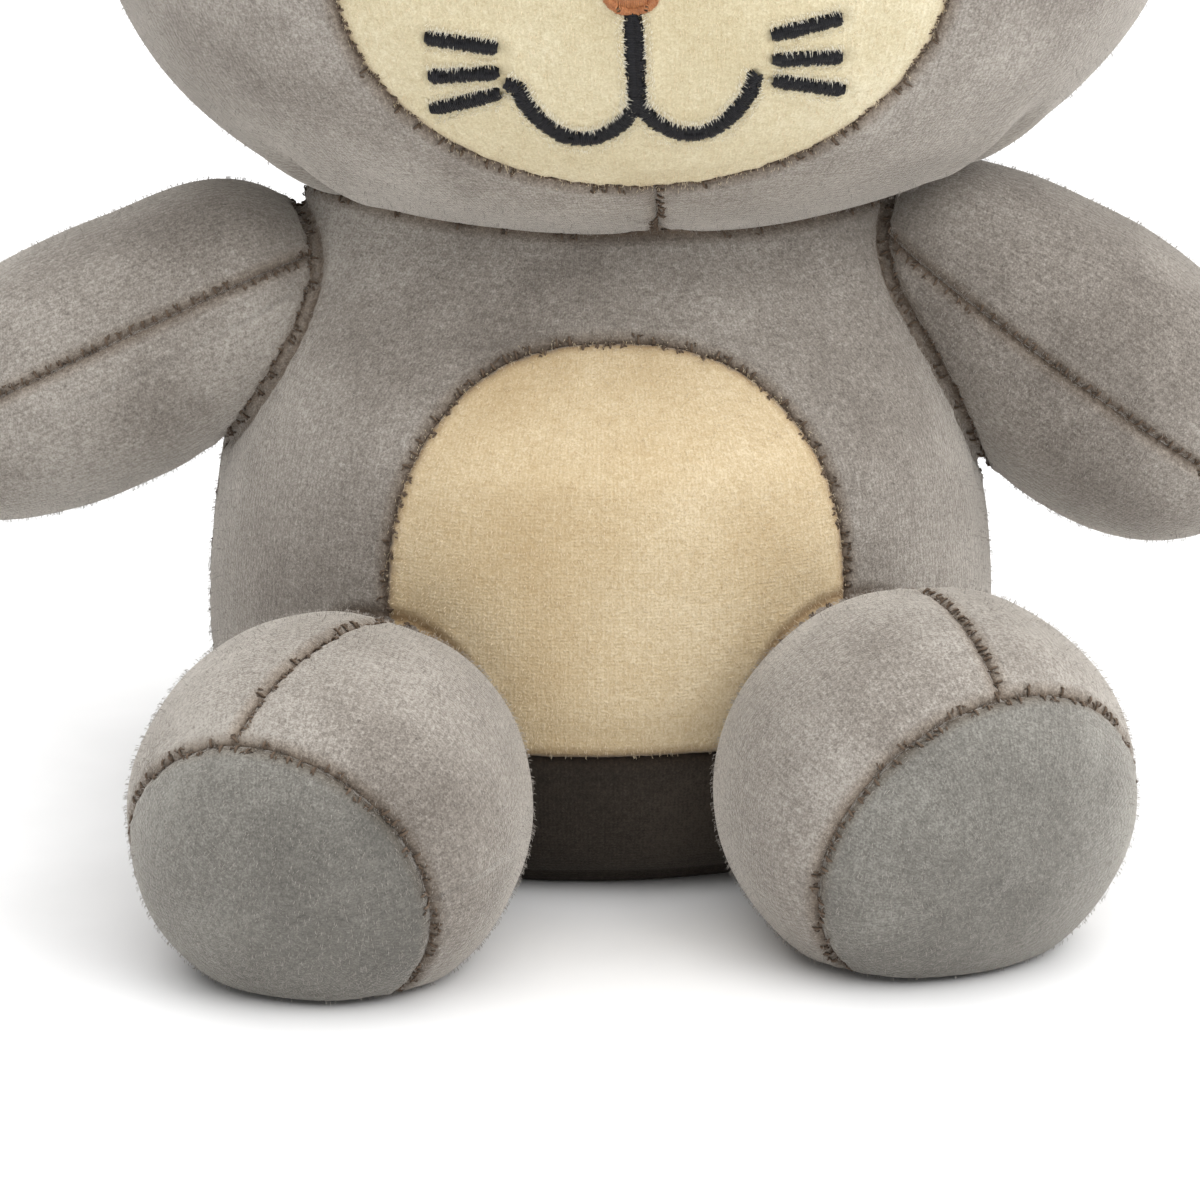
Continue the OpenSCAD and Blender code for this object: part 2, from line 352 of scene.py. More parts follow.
def lay_cloth(bm, across, along):
    """Keeps where each vertex lies on the flat cloth, across and along its ribs, for the material."""
    points = coords(bm)
    u, w = across(points), along(points)
    layer = bm.verts.layers.float_vector.new("cloth_mm")
    for v, a, b in zip(bm.verts, u, w):
        v[layer] = (float(a), float(b), 0.0)


def relax_noise(bm, amount, size, seed):
    """Low soft lumps of the stuffing under the cloth."""
    dice = random.Random(seed)
    points, normal = coords(bm), normals(bm)
    lump = np.zeros(len(points))
    for octave in range(3):
        wave = size / (1.6 ** octave)
        for _ in range(4):
            direction = unit([dice.gauss(0, 1) for _ in range(3)])
            lump += math.pow(0.6, octave) * np.sin(points @ direction * 2 * math.pi / wave + dice.uniform(0, 6.3))
    set_coords(bm, points + normal * (amount * lump / 5)[:, None])


# ---- Materials ----

def srgb(r, g, b):
    def linear(c):
        c /= 255
        return c / 12.92 if c <= 0.04045 else ((c + 0.055) / 1.055) ** 2.4
    return (linear(r), linear(g), linear(b), 1.0)


class Nodes:
    """Short calls for building a material's node tree."""

    def __init__(self, name):
        self.material = bpy.data.materials.new(name)
        self.material.use_nodes = True
        self.tree = self.material.node_tree
        self.shader = self.tree.nodes["Principled BSDF"]

    def add(self, kind, **sockets):
        node = self.tree.nodes.new(kind)
        for key, value in sockets.items():
            if key.startswith("_"):
                setattr(node, key[1:], value)
            else:
                self.put(node.inputs[key.replace("__", " ")], value)
        return node

    def put(self, socket, value):
        if isinstance(value, bpy.types.NodeSocket):
            self.tree.links.new(value, socket)
        else:
            socket.default_value = value

    def math(self, operation, a, b=0.0, c=0.0):
        node = self.add("ShaderNodeMath", _operation=operation)
        for socket, value in zip(node.inputs, (a, b, c)):
            self.put(socket, value)
        return node.outputs[0]

    def mix(self, factor, a, b):
        node = self.add("ShaderNodeMix", _data_type="RGBA")
        self.put(node.inputs["Factor"], factor)
        self.put(node.inputs[6], a)
        self.put(node.inputs[7], b)
        return node.outputs[2]

    def noise(self, vector, scale, detail=2.0, rough=0.5):
        node = self.add("ShaderNodeTexNoise", Scale=scale, Detail=detail, Roughness=rough)
        self.put(node.inputs["Vector"], vector)
        return node.outputs["Fac"]

    def ramp(self, factor, *stops):
        node = self.add("ShaderNodeValToRGB")
        self.put(node.inputs["Fac"], factor)
        while len(node.color_ramp.elements) < len(stops):
            node.color_ramp.elements.new(0.5)
        for element, (place, value) in zip(node.color_ramp.elements, stops):
            element.position = place
            element.color = value if isinstance(value, tuple) else (value, value, value, 1)
        return node.outputs["Color"]


def plush(name, colour, deep, light, sheen=0.35, rib=0.5):
    """Short-pile plush: fine ribs, mottled nap, pile tips that catch the light, and painted shade that darkens it in
    its seams.
    """
    n = Nodes(name)
    position = n.add("ShaderNodeTexCoord").outputs["Object"]
    cloth = n.add("ShaderNodeAttribute", _attribute_name="cloth_mm").outputs["Vector"]
    seam = n.add("ShaderNodeAttribute", _attribute_name="seam_mm").outputs["Fac"]
    parts = n.add("ShaderNodeSeparateXYZ", Vector=cloth)
    wander = n.noise(position, 160.0, 2.0)
    across = n.math("MULTIPLY_ADD", wander, 0.5, parts.outputs["X"])
    rib_wave = n.math("SINE", n.math("MULTIPLY", across, 2 * math.pi / 0.95))
    rib_wave = n.math("MULTIPLY_ADD", rib_wave, 0.5, 0.5)
    row_wave = n.math("SINE", n.math("MULTIPLY", parts.outputs["Y"], 2 * math.pi / 0.7))
    fuzz = n.noise(position, 2600.0, 3.0, 0.65)
    tuft = n.noise(position, 900.0, 3.0, 0.6)
    nap = n.noise(position, 42.0, 4.0, 0.6)
    patch = n.noise(position, 14.0, 2.0, 0.5)

    tone = n.math("MULTIPLY_ADD", n.math("SUBTRACT", nap, 0.5), 0.8, 0.5)
    tone = n.math("MULTIPLY_ADD", n.math("SUBTRACT", patch, 0.5), 1.0, tone)
    tone = n.math("MULTIPLY_ADD", n.math("SUBTRACT", tuft, 0.5), 0.9, tone)
    tone = n.math("MULTIPLY_ADD", n.math("SUBTRACT", fuzz, 0.5), 1.4, tone)
    tone = n.math("MULTIPLY_ADD", n.math("SUBTRACT", rib_wave, 0.5), 0.16 * rib, tone)
    base = n.ramp(tone, (0.1, deep), (0.5, colour), (0.9, light))
    # painted shade: the colour is darkened within about 3 mm of a seam, as shade in the seam's groove
    painted_seam_shade = n.ramp(n.math("DIVIDE", seam, 3.0), (0.0, srgb(190, 174, 159)), (0.42, srgb(232, 226, 220)), (1.0, 1.0))
    shade = n.add("ShaderNodeMix", _data_type="RGBA", _blend_type="MULTIPLY")
    n.put(shade.inputs["Factor"], 1.0)
    n.put(shade.inputs[6], base)
    n.put(shade.inputs[7], painted_seam_shade)
    n.put(n.shader.inputs["Base Color"], shade.outputs[2])

    height = n.math("MULTIPLY_ADD", fuzz, 0.55, n.math("MULTIPLY", tuft, 0.7))
    height = n.math("MULTIPLY_ADD", rib_wave, 0.12 * rib, height)
    height = n.math("MULTIPLY_ADD", row_wave, 0.06 * rib, height)
    relief = n.add("ShaderNodeBump", Strength=0.75, Distance=0.0006)
    n.put(relief.inputs["Height"], height)
    n.put(n.shader.inputs["Normal"], relief.outputs["Normal"])
    n.put(n.shader.inputs["Roughness"], n.math("MULTIPLY_ADD", tuft, 0.15, 0.82))
    n.shader.inputs["Specular IOR Level"].default_value = 0.18
    n.shader.inputs["Sheen Weight"].default_value = sheen
    n.shader.inputs["Sheen Roughness"].default_value = 0.34
    n.shader.inputs["Sheen Tint"].default_value = srgb(236, 230, 222)
    return n.material


def thread(name, colour, light, shine=0.35):
    """Satin-stitch thread: smooth, with fine twist marks and a soft highlight."""
    n = Nodes(name)
    position = n.add("ShaderNodeTexCoord").outputs["Object"]
    twist = n.noise(position, 3800.0, 2.0)
    strand = n.noise(position, 700.0, 2.0)
    base = n.mix(n.math("MULTIPLY", n.math("MULTIPLY", twist, strand), 1.6), colour, light)
    n.put(n.shader.inputs["Base Color"], base)
    relief = n.add("ShaderNodeBump", Strength=0.4, Distance=0.0002)
    n.put(relief.inputs["Height"], twist)
    n.put(n.shader.inputs["Normal"], relief.outputs["Normal"])
    n.put(n.shader.inputs["Roughness"], n.math("MULTIPLY_ADD", twist, 0.2, 0.42))
    n.shader.inputs["Specular IOR Level"].default_value = shine
    n.shader.inputs["Sheen Weight"].default_value = 0.08
    return n.material


def fibre(name):
    """Loose white polyester fibre."""
    n = Nodes(name)
    position = n.add("ShaderNodeTexCoord").outputs["Object"]
    clump = n.noise(position, 120.0, 6.0, 0.7)
    n.put(n.shader.inputs["Base Color"], n.ramp(clump, (0.3, srgb(214, 214, 210)), (0.7, srgb(246, 246, 243))))
    relief = n.add("ShaderNodeBump", Strength=0.8, Distance=0.002)
    n.put(relief.inputs["Height"], clump)
    n.put(n.shader.inputs["Normal"], relief.outputs["Normal"])
    n.put(n.shader.inputs["Roughness"], n.math("MULTIPLY_ADD", clump, 0.1, 0.85))
    return n.material


def woven(name, colour, light):
    """Plain woven cotton for the pellet bag."""
    n = Nodes(name)
    position = n.add("ShaderNodeTexCoord").outputs["Object"]
    parts = n.add("ShaderNodeSeparateXYZ", Vector=position)
    warp = n.math("SINE", n.math("MULTIPLY", parts.outputs["X"], 7000.0))
    weft = n.math("SINE", n.math("MULTIPLY", parts.outputs["Y"], 7000.0))
    weave = n.math("MULTIPLY_ADD", n.math("MULTIPLY", warp, weft), 0.5, 0.5)
    lumps = n.noise(position, 90.0, 3.0)
    n.put(n.shader.inputs["Base Color"], n.mix(n.math("MULTIPLY", weave, lumps), colour, light))
    relief = n.add("ShaderNodeBump", Strength=0.6, Distance=0.0008)
    n.put(relief.inputs["Height"], n.math("ADD", weave, n.math("MULTIPLY", lumps, 3.0)))
    n.put(n.shader.inputs["Normal"], relief.outputs["Normal"])
    n.put(n.shader.inputs["Roughness"], n.math("MULTIPLY_ADD", lumps, 0.1, 0.8))
    return n.material


def pile_fibre(name, colour, light):
    """The same fibres as the plush's pile, a little paler at their tips."""
    n = Nodes(name)
    position = n.add("ShaderNodeTexCoord").outputs["Object"]
    tone = n.noise(position, 600.0, 2.0)
    n.put(n.shader.inputs["Base Color"], n.ramp(tone, (0.3, colour), (0.7, light)))
    n.put(n.shader.inputs["Roughness"], n.math("MULTIPLY_ADD", tone, 0.2, 0.7))
    n.shader.inputs["Specular IOR Level"].default_value = 0.2
    n.shader.inputs["Sheen Weight"].default_value = 0.3
    return n.material


GREY = plush("grey_plush", srgb(143, 136, 128), srgb(108, 101, 94), srgb(180, 174, 166), sheen=1.0)
SOLE = plush("sole_plush", srgb(119, 116, 110), srgb(94, 92, 87), srgb(150, 148, 141), sheen=0.8)
CREAM = plush("cream_plush", srgb(208, 188, 153), srgb(192, 168, 130), srgb(228, 212, 182), sheen=0.4)
# painted light: the muzzle's cream is a paler copy of the tummy's cream, made lighter to stand in for light reaching
# the downward-facing muzzle from the front and below
MUZZLE_CREAM_PAINTED_LIGHT = plush("muzzle_plush", srgb(212, 200, 167), srgb(196, 181, 146), srgb(230, 221, 194), sheen=0.4)
# painted shade: the base panel's plush is painted near black-brown, darker than the grey, to stand in for the deep
# shade between the legs and under the body
BASE = plush("base_plush", srgb(52, 46, 40), srgb(38, 33, 28), srgb(68, 61, 54), sheen=0.06)
GREY_PILE = pile_fibre("grey_pile", srgb(140, 132, 124), srgb(172, 165, 157))
CREAM_PILE = pile_fibre("cream_pile", srgb(220, 200, 162), srgb(240, 224, 194))
HALO_PILE = pile_fibre("pale_pile", srgb(232, 224, 200), srgb(248, 244, 230))
BLACK = thread("black_thread", srgb(9, 9, 12), srgb(34, 34, 40), shine=0.25)
BROWN = thread("brown_thread", srgb(132, 70, 30), srgb(206, 140, 84), shine=0.6)
STITCH = thread("stitch_thread", srgb(70, 57, 46), srgb(124, 106, 89), shine=0.2)
FIBRE = fibre("fibre_fill")
PELLET = woven("pellet_cloth", srgb(206, 190, 158), srgb(232, 220, 194))


# ---- Pieces ----

def write(bm, name, material, keep=None, thickness=CLOTH_T):
    """Writes the chosen panel of a skin as a piece of cloth with real thickness."""
    part = bm.copy()
    if keep is not None:
        layer = part.faces.layers.int["panel"]
        bmesh.ops.delete(part, geom=[f for f in part.faces if f[layer] not in keep], context="FACES")
    mesh = bpy.data.meshes.new(name)
    part.to_mesh(mesh)
    part.free()
    obj = bpy.data.objects.new(name, mesh)
    bpy.context.scene.collection.objects.link(obj)
    if thickness:
        solid = obj.modifiers.new("cloth", "SOLIDIFY")
        solid.thickness = thickness
        solid.offset = -1
        solid.use_even_offset = False
        solid.use_quality_normals = True
        graph = bpy.context.evaluated_depsgraph_get()
        done = bpy.data.meshes.new_from_object(obj.evaluated_get(graph))
        obj.modifiers.clear()
        obj.data = done
        bpy.data.meshes.remove(mesh)
    obj.data.transform(Matrix.Scale(MM, 4))
    obj.data.name = name
    obj.data.shade_smooth()
    obj.data.materials.clear()
    obj.data.materials.append(material)
    return obj


class Threads:
    """Many short thread pieces gathered into one mesh."""

    def __init__(self):
        self.verts, self.faces = [], []

    def strand(self, path, radius, sides=6, taper=True):
        path = np.array(path, float)
        first = len(self.verts)
        tangent = np.gradient(path, axis=0)
        for i, (p, t) in enumerate(zip(path, tangent)):
            t = unit(t)
            u = unit(np.cross(t, X if abs(t[0]) < 0.9 else Y))
            w = np.cross(t, u)
            share = i / (len(path) - 1)
            r = radius * (math.sqrt(max(0.08, 1 - (2 * share - 1) ** 4)) if taper else 1)
            for k in range(sides):
                a = 2 * math.pi * k / sides
                self.verts.append(p + r * (math.cos(a) * u + math.sin(a) * w))
        for i in range(len(path) - 1):
            for k in range(sides):
                a, b = first + i * sides + k, first + i * sides + (k + 1) % sides
                self.faces.append((a, b, b + sides, a + sides))
        self.faces.append(tuple(first + k for k in reversed(range(sides))))
        last = first + (len(path) - 1) * sides
        self.faces.append(tuple(last + k for k in range(sides)))

    def piece(self, name, material, slot):
        mesh = bpy.data.meshes.new(name)
        mesh.from_pydata([tuple(v * MM) for v in self.verts], [], self.faces)
        mesh.update()
        mesh.shade_smooth()
        mesh.materials.append(material)
        obj = bpy.data.objects.new(name, mesh)
        bpy.context.scene.collection.objects.link(obj)
        return obj


def stitch_seam(threads, seam, tree, seed, length=2.2, radius=0.27, keep=lambda p: True):
    """Short stitches across a seam, bridging its groove, uneven as real ones are."""
    dice = random.Random(seed)
    for run in seam.runs:
        along = np.r_[0, np.cumsum(np.linalg.norm(np.diff(run, axis=0), axis=1))]
        for at in np.arange(STITCH_PITCH / 2, along[-1], STITCH_PITCH):
            at += dice.uniform(-0.3, 0.3)
            p = np.array([np.interp(at, along, run[:, k]) for k in range(3)])
            q = np.array([np.interp(at + 0.8, along, run[:, k]) for k in range(3)])
            if not keep(p) or np.linalg.norm(q - p) < 1e-6:
                continue
            hit, normal, _, _ = tree.find_nearest(Vector(p))
            normal = np.array(normal)
            across = unit(np.cross(normal, unit(q - p)))
            slant = dice.uniform(-0.25, 0.25)
            across = unit(across + slant * unit(q - p))
            half = length / 2 * dice.uniform(0.8, 1.15)
            path = []
            for t in np.linspace(-1, 1, 5):
                spot = np.array(hit) + across * half * t
                skin, up, _, _ = tree.find_nearest(Vector(spot))
                lift = (1 - t * t) * 0.7 - 0.25
                path.append(np.array(skin) + np.array(up) * lift)
            threads.strand(path, radius * dice.uniform(0.85, 1.15))
            for _ in range(2):
                spot = np.array(hit) + across * dice.uniform(-0.9, 0.9) + unit(q - p) * dice.uniform(-1.2, 1.2)
                turn = dice.uniform(0, math.pi)
                along_loop = math.cos(turn) * across + math.sin(turn) * unit(q - p)
                loop = []
                for t in (-1, -0.3, 0.4, 1):
                    skin, up, _, _ = tree.find_nearest(Vector(spot + along_loop * 0.6 * t))
                    loop.append(np.array(skin) + np.array(up) * (0.5 * (1 - t * t) - 0.1))
                threads.strand(loop, 0.2, sides=4)


# ---- Torso ----

CHEST_Z = 84.0           # above this height the torso gets flatter towards the neck
NECK_SLIM = 0.40

def torso_outline():
    """Half outline of the torso: flat seat, round edge, wide belly, narrowing to the neck."""
    seat_r, belly_z, neck_r = TORSO_W * 0.84, TORSO_W * 0.55, TORSO_W * 0.6
    top = TOP_Z + 14
    seat = [(0.0, r) for r in np.linspace(0, seat_r - 6, 12)]
    edge = [(6 * (1 - math.cos(a)), seat_r - 6 + 6 * math.sin(a)) for a in np.linspace(0.1, 1.2, 6)]
    side = []
    z0, r0 = edge[-1]
    for t in np.linspace(0.02, 1, 24):
        z = z0 + (belly_z - z0) * t
        side.append((z, r0 + (TORSO_W - r0) * math.sqrt(1 - (1 - t) ** 2)))
    upper = []
    for t in np.linspace(0.02, 1, 40):
        z = belly_z + (top - belly_z) * t
        upper.append((z, neck_r + (TORSO_W - neck_r) * math.cos(t * math.pi / 2) ** 0.84))
    cap = [(top, r) for r in np.linspace(neck_r - 2, 0, 8)]
    return seat + edge + side + upper + cap


def torso_base(spacing=GRID):
    stations, radii = even_profile(torso_outline(), spacing)
    count = int(2 * math.pi * TORSO_W / spacing)
    angles = np.arange(count) * 2 * math.pi / count
    rings = []
    for i, (z, r) in enumerate(zip(stations, radii)):
        if i in (0, len(stations) - 1) or r < 0.3:
            if i in (0, len(stations) - 1):
                rings.append([(0, 0, z)])
            continue
        flat = TORSO_D / TORSO_W - NECK_SLIM * smoothstep((z - CHEST_Z) / (TOP_Z - 8 - CHEST_Z))
        rings.append(np.c_[r * np.cos(angles), flat * r * np.sin(angles), np.full(count, z)])
    return closed_rings(rings)


TUMMY_POWER = 2.4
TUMMY_SIDE_Z = tummy_low[2] + 0.37 * (tummy_high[2] - tummy_low[2])
TUMMY_X = (tummy_low[0] + tummy_high[0]) / 2
TUMMY_W = (tummy_high[0] - tummy_low[0]) / 2
TUMMY, FRONT, BACK_RIGHT, BACK_LEFT, UNDER = range(5)


def tummy_level(p):
    """Below 0 inside the tummy's outline."""
    x = np.abs(p[:, 0] - TUMMY_X) / TUMMY_W
    z = np.maximum(0, p[:, 2] - TUMMY_SIDE_Z) / (tummy_high[2] - TUMMY_SIDE_Z)
    arch = (x ** TUMMY_POWER + z ** TUMMY_POWER) ** (1 / TUMMY_POWER) - 1
    below = (BASE_SEAM_Z - p[:, 2]) / TUMMY_W
    behind = (p[:, 1] + 5) / TUMMY_W
    return np.maximum(np.maximum(arch, below), behind)


def torso_panel(p):
    out = np.where(p[:, 1] < 0, FRONT, np.where(p[:, 0] < 0, BACK_RIGHT, BACK_LEFT))
    out = np.where(tummy_level(p) < 0, TUMMY, out)
    return np.where(p[:, 2] < BASE_SEAM_Z, UNDER, out)


# ---- Head ----

HEAD_POWER = 2.2


def head_radius(x):
    return HEAD_H * np.maximum(0, 1 - (np.abs(x) / HEAD_W) ** HEAD_POWER) ** (1 / HEAD_POWER)


def head_base(spacing=GRID):
    t = np.sin(np.linspace(-1, 1, 400) * math.pi / 2)
    stations, radii = even_profile([(HEAD_W * k, head_radius(HEAD_W * k)) for k in t], spacing)
    along = Place(HEAD.origin, HEAD.axes[1], HEAD.axes[0])
    return revolve(along, stations, radii, spacing=spacing)


MUZZLE_X = (muzzle_low[0] + muzzle_high[0]) / 2
MUZZLE_W = (muzzle_high[0] - muzzle_low[0]) / 2
MUZZLE_Z = muzzle_low[2] + (muzzle_high[2] - muzzle_low[2]) * 0.625
MUZZLE, FACE_RIGHT, FACE_LEFT, NAPE_RIGHT, NAPE_LEFT = range(5)


def muzzle_level(p):
    q = HEAD.local(p)
    x = (q[:, 0] - MUZZLE_X) / MUZZLE_W
    low = (MUZZLE_Z - q[:, 2]) / (MUZZLE_Z - muzzle_low[2])
    high = (q[:, 2] - MUZZLE_Z) / (muzzle_high[2] - MUZZLE_Z)
    z = np.where(q[:, 2] < MUZZLE_Z, low, high)
    return np.maximum(np.hypot(x, z) - 1, (q[:, 1] + 5) / 50)


def head_panel(p):
    q = HEAD.local(p)
    front = np.where(q[:, 0] < 0, FACE_RIGHT, FACE_LEFT)
    back = np.where(q[:, 0] < 0, NAPE_RIGHT, NAPE_LEFT)
    out = np.where(q[:, 1] < 0, front, back)
    return np.where(muzzle_level(p) < 0, MUZZLE, out)


# ---- Arms and legs ----

def full_profile(start, length, radius, power, root_r, count=120):
    """Outline of a stuffed limb: a round root, a full body and a round end."""
    middle, half = (start + length) / 2, (length - start) / 2
    out = []
    for s in np.linspace(-root_r, length, count):
        ball = math.sqrt(max(0, root_r ** 2 - s ** 2)) if abs(s) < root_r else 0
        t = abs((s - middle) / half)
        body = radius * max(0, 1 - t ** power) ** (1 / power) if t < 1 else 0
        out.append([s, (ball ** 6 + body ** 6) ** (1 / 6)])
    return out


class Limb:
    """One arm or leg: its pivot is the joint's, its stuffed body leans as the sewn one does."""

    def __init__(self, kind, side, drop, splay, radius, length, start, root_r, rise=0.0, flat=0.0):
        self.side, self.flat = side, flat
        self.name = f"{kind}_{SIDE_NAME[side]}"
        joint = f"{self.name}_raise" if kind == "arm" else f"{self.name}_lift"
        self.radius, self.length = radius, length
        down, out = math.radians(drop), math.radians(splay)
        direction = [side * math.sin(out) * math.cos(down), -math.cos(out) * math.cos(down), -math.sin(down)]
        self.place = Place(pivot_of(joint) + rise * Z, np.cross(direction, Z), direction)
        self.outline = full_profile(start, length, radius, 2.3, root_r)

    def skin(self, spacing=GRID):
        wider = lambda s, angle: 1 + self.flat * math.cos(2 * angle)
        return revolve(self.place, *even_profile(self.outline, spacing), wider, spacing)


ARMS = [Limb("arm", RIGHT, 25.0, 90, 26.9, 80.7, -17.3, 22.5, rise=5.2),
        Limb("arm", LEFT, 36.0, 90, 29.8, 80.5, -9.5, 23, rise=6.1)]
LEGS = [Limb("leg", RIGHT, 11.5, 16.2, 38.0, 72.5, -2, 22, rise=-1.0, flat=0.02),
        Limb("leg", LEFT, 13.5, 18.3, 40.0, 68.5, -2, 22, rise=1.2, flat=0.03)]
# How far the long seam of each arm is turned up from its middle, in degrees
ARM_SEAM_TURN = {RIGHT: 17, LEFT: -2}
# Each sole's plane: how far its normal leans outwards and down from the leg's axis, and its distance
SOLES = {RIGHT: (0.187, 0.098, 57.2), LEFT: (0.132, 0.072, 51.5)}
# The seam on top of each leg: its sideways place at the hip, and its slope outwards
TOP_SEAMS = {RIGHT: (-6.6, 0.42), LEFT: (-2.2, 0.0)}


# ---- Face ----

FACE_X = -2.7            # the face lies a little to the right of the head's middle
MOUTH_W = 22.5
MOUTH_TOP, MOUTH_DROP = -37.4, 7.8
MOUTH_THREAD, WHISKER_THREAD = 3.2, 3.0
NOSE_W, NOSE_H, NOSE_FOOT = 10.8, 9.0, -18.8
WHISKER_IN, WHISKER_OUT = 26.0, 39.5
WHISKER_ROWS = ((-24.7, -22.3), (-29.8, -30.5), (-34.2, -37.7))


def crease(bm):
    """Soft folds in the head's cheeks, from the corners of the neck up and out."""
    for side in (RIGHT, LEFT):
        foot = np.array([side * 62.0, -18.0, -68.0])
        top = np.array([side * 80.0, -40.0, -43.0])
        line = HEAD.world([foot + (top - foot) * t for t in np.linspace(-0.1, 1.1, 40)])
        line = [head_tree.find_nearest(Vector(p))[0] for p in line]
        points, normal = coords(bm), normals(bm)
        distance, along = Seam([line]).nearest(points)
        fade = smoothstep(along / 8) * smoothstep((36 - along) / 16)
        shift = fade * (1.5 * bump(distance, 2.6) - 0.8 * bump(distance - 6, 4.0))
        set_coords(bm, points - normal * shift[:, None])


def face_paths():
    """Middle lines of the embroidery in local (x, z), each with its thread width."""
    paths = [([(FACE_X, z) for z in np.linspace(NOSE_FOOT + 0.5, MOUTH_TOP + 0.5, 20)], MOUTH_THREAD + 0.6)]
    for side in (RIGHT, LEFT):
        curve = []
        for t in np.linspace(0, 1, 40):
            sag = (MOUTH_DROP + 1.2) * math.sin(math.pi * t) ** 0.62
            curve.append((FACE_X + side * MOUTH_W * t, MOUTH_TOP + 1.2 - sag + 3.2 * t ** 3))
        end = curve[-1]
        flick = 2.4 if side == RIGHT else 0.6
        curve += [(end[0] + side * flick * t, end[1] + 0.9 * t) for t in (0.5, 1.0)]
        paths.append((curve, MOUTH_THREAD))
    for side in (RIGHT, LEFT):
        for near, far in WHISKER_ROWS:
            path = [(FACE_X + side * (WHISKER_IN + (WHISKER_OUT - WHISKER_IN) * t), near + (far - near) * t)
                    for t in np.linspace(0, 1, 8)]
            paths.append((path, WHISKER_THREAD))
    return paths


def press_embroidery(bm):
    """The embroidery pulls the fabric in; the pile stands up round it."""
    lines = []
    for path, width in face_paths():
        lines.append([HEAD.world([x, -math.sqrt(max(1, head_radius(x) ** 2 - z * z)), z]) for x, z in path])
    lines = [[head_tree.find_nearest(Vector(p))[0] for p in line] for line in lines]
    points, normal = coords(bm), normals(bm)
    distance, _ = Seam(lines).nearest(points)
    shift = 1.0 * bump(distance, 1.9) - 0.55 * bump(distance - 3.0, 1.1)
    set_coords(bm, points - normal * shift[:, None])


def halo(seed=40):
    """Pale pile that stands round the embroidery and crosses its edges."""
    dice = random.Random(seed)
    fibres = Threads()
    for path, width in face_paths():
        path = np.array(path, float)
        along = np.r_[0, np.cumsum(np.hypot(*np.diff(path, axis=0).T))]
        for at in np.arange(0, along[-1], 0.12):
            at = min(along[-1], at + dice.uniform(0, 0.1))
            x, z = (np.interp(at, along, path[:, k]) for k in range(2))
            x2, z2 = (np.interp(at - 0.5, along, path[:, k]) for k in range(2))
            x3, z3 = (np.interp(at + 0.5, along, path[:, k]) for k in range(2))
            size = math.hypot(x3 - x2, z3 - z2) or 1.0
            nx, nz = -(z3 - z2) / size, (x3 - x2) / size
            for edge in (-1, 1):
                off = edge * (width / 2 + dice.uniform(0.2, 1.6))
                foot, n = on_face(x + nx * off, z + nz * off)
                middle, _ = on_face(x, z)
                inward = unit(middle - foot)
                slip = 0.4 * (np.array([dice.gauss(0, 1) for _ in range(3)]))
                reach = dice.uniform(0.6, 1.3)
                tip = foot + reach * (0.9 * n + 0.28 * inward + 0.35 * slip)
                bend = foot + reach * (0.5 * n + 0.08 * inward + 0.1 * slip)
                fibres.strand([foot - 0.2 * n, bend, tip], 0.07, sides=3)
    return fibres.piece("embroidery_pile", HALO_PILE, "cream_plush")


def on_face(x, z):
    """The point of the head's front surface at local (x, z), and its normal."""
    start = Vector(HEAD.world([x, -2 * HEAD_H, z]))
    hit, normal, _, _ = head_skin.ray_cast(start, Vector(HEAD.axes[1]))
    return np.array(hit), np.array(normal)


def satin(threads, path, width, lift=1.15, step=0.34, radius=0.23, seed=1, closed=False):
    """Satin stitch: close rows of thread across a path of local (x, z) points, domed and a little uneven."""
    dice = random.Random(seed)
    path = np.array(path, float)
    along = np.r_[0, np.cumsum(np.hypot(*np.diff(path, axis=0).T))]
    count = int(along[-1] / step)
    for i in range(count + (0 if closed else 1)):
        at = min(along[-1], i * step)
        x, z = (np.interp(at, along, path[:, k]) for k in range(2))
        back, ahead = max(0, at - 0.4), min(along[-1], at + 0.4)
        tx, tz = (np.interp(ahead, along, path[:, k]) - np.interp(back, along, path[:, k]) for k in range(2))
        size = math.hypot(tx, tz) or 1.0
        ends = 1.0 if closed else min(1.0, 0.62 + 0.38 * min(at, along[-1] - at) / (width * 0.3))
        half = width / 2 * ends * dice.uniform(0.84, 1.12)
        nx, nz = -tz / size, tx / size
        strand = []
        for t in np.linspace(-1, 1, 7):
            p, n = on_face(x + nx * half * t, z + nz * half * t)
            strand.append(p + n * (lift * math.sqrt(max(0, 1 - t * t * 0.98)) - 0.15))
        threads.strand(strand, radius * dice.uniform(0.9, 1.1), sides=5, taper=False)


def satin_oval(threads, x, z, half_w, half_h, lift=0.9, step=0.36, upright=False, seed=1, power=2.0):
    """Rows of satin stitch that fill an oval."""
    dice = random.Random(seed)
    reach = half_w if upright else half_h
    other = half_h if upright else half_w
    for a in np.arange(-reach + step / 2, reach, step):
        half = other * max(0.05, 1 - abs(a / reach) ** power) ** (1 / power) * dice.uniform(0.96, 1.03)
        strand = []
        for t in np.linspace(-1, 1, 9):
            px, pz = (x + a, z + half * t) if upright else (x + half * t, z + a)
            p, n = on_face(px, pz)
            edge = ((a / reach) ** 2 + (t * half / other) ** 2)
            strand.append(p + n * (lift * math.sqrt(max(0, 1 - min(1, edge) * 0.97)) - 0.12))
        threads.strand(strand, 0.23 * dice.uniform(0.9, 1.1), sides=5, taper=False)


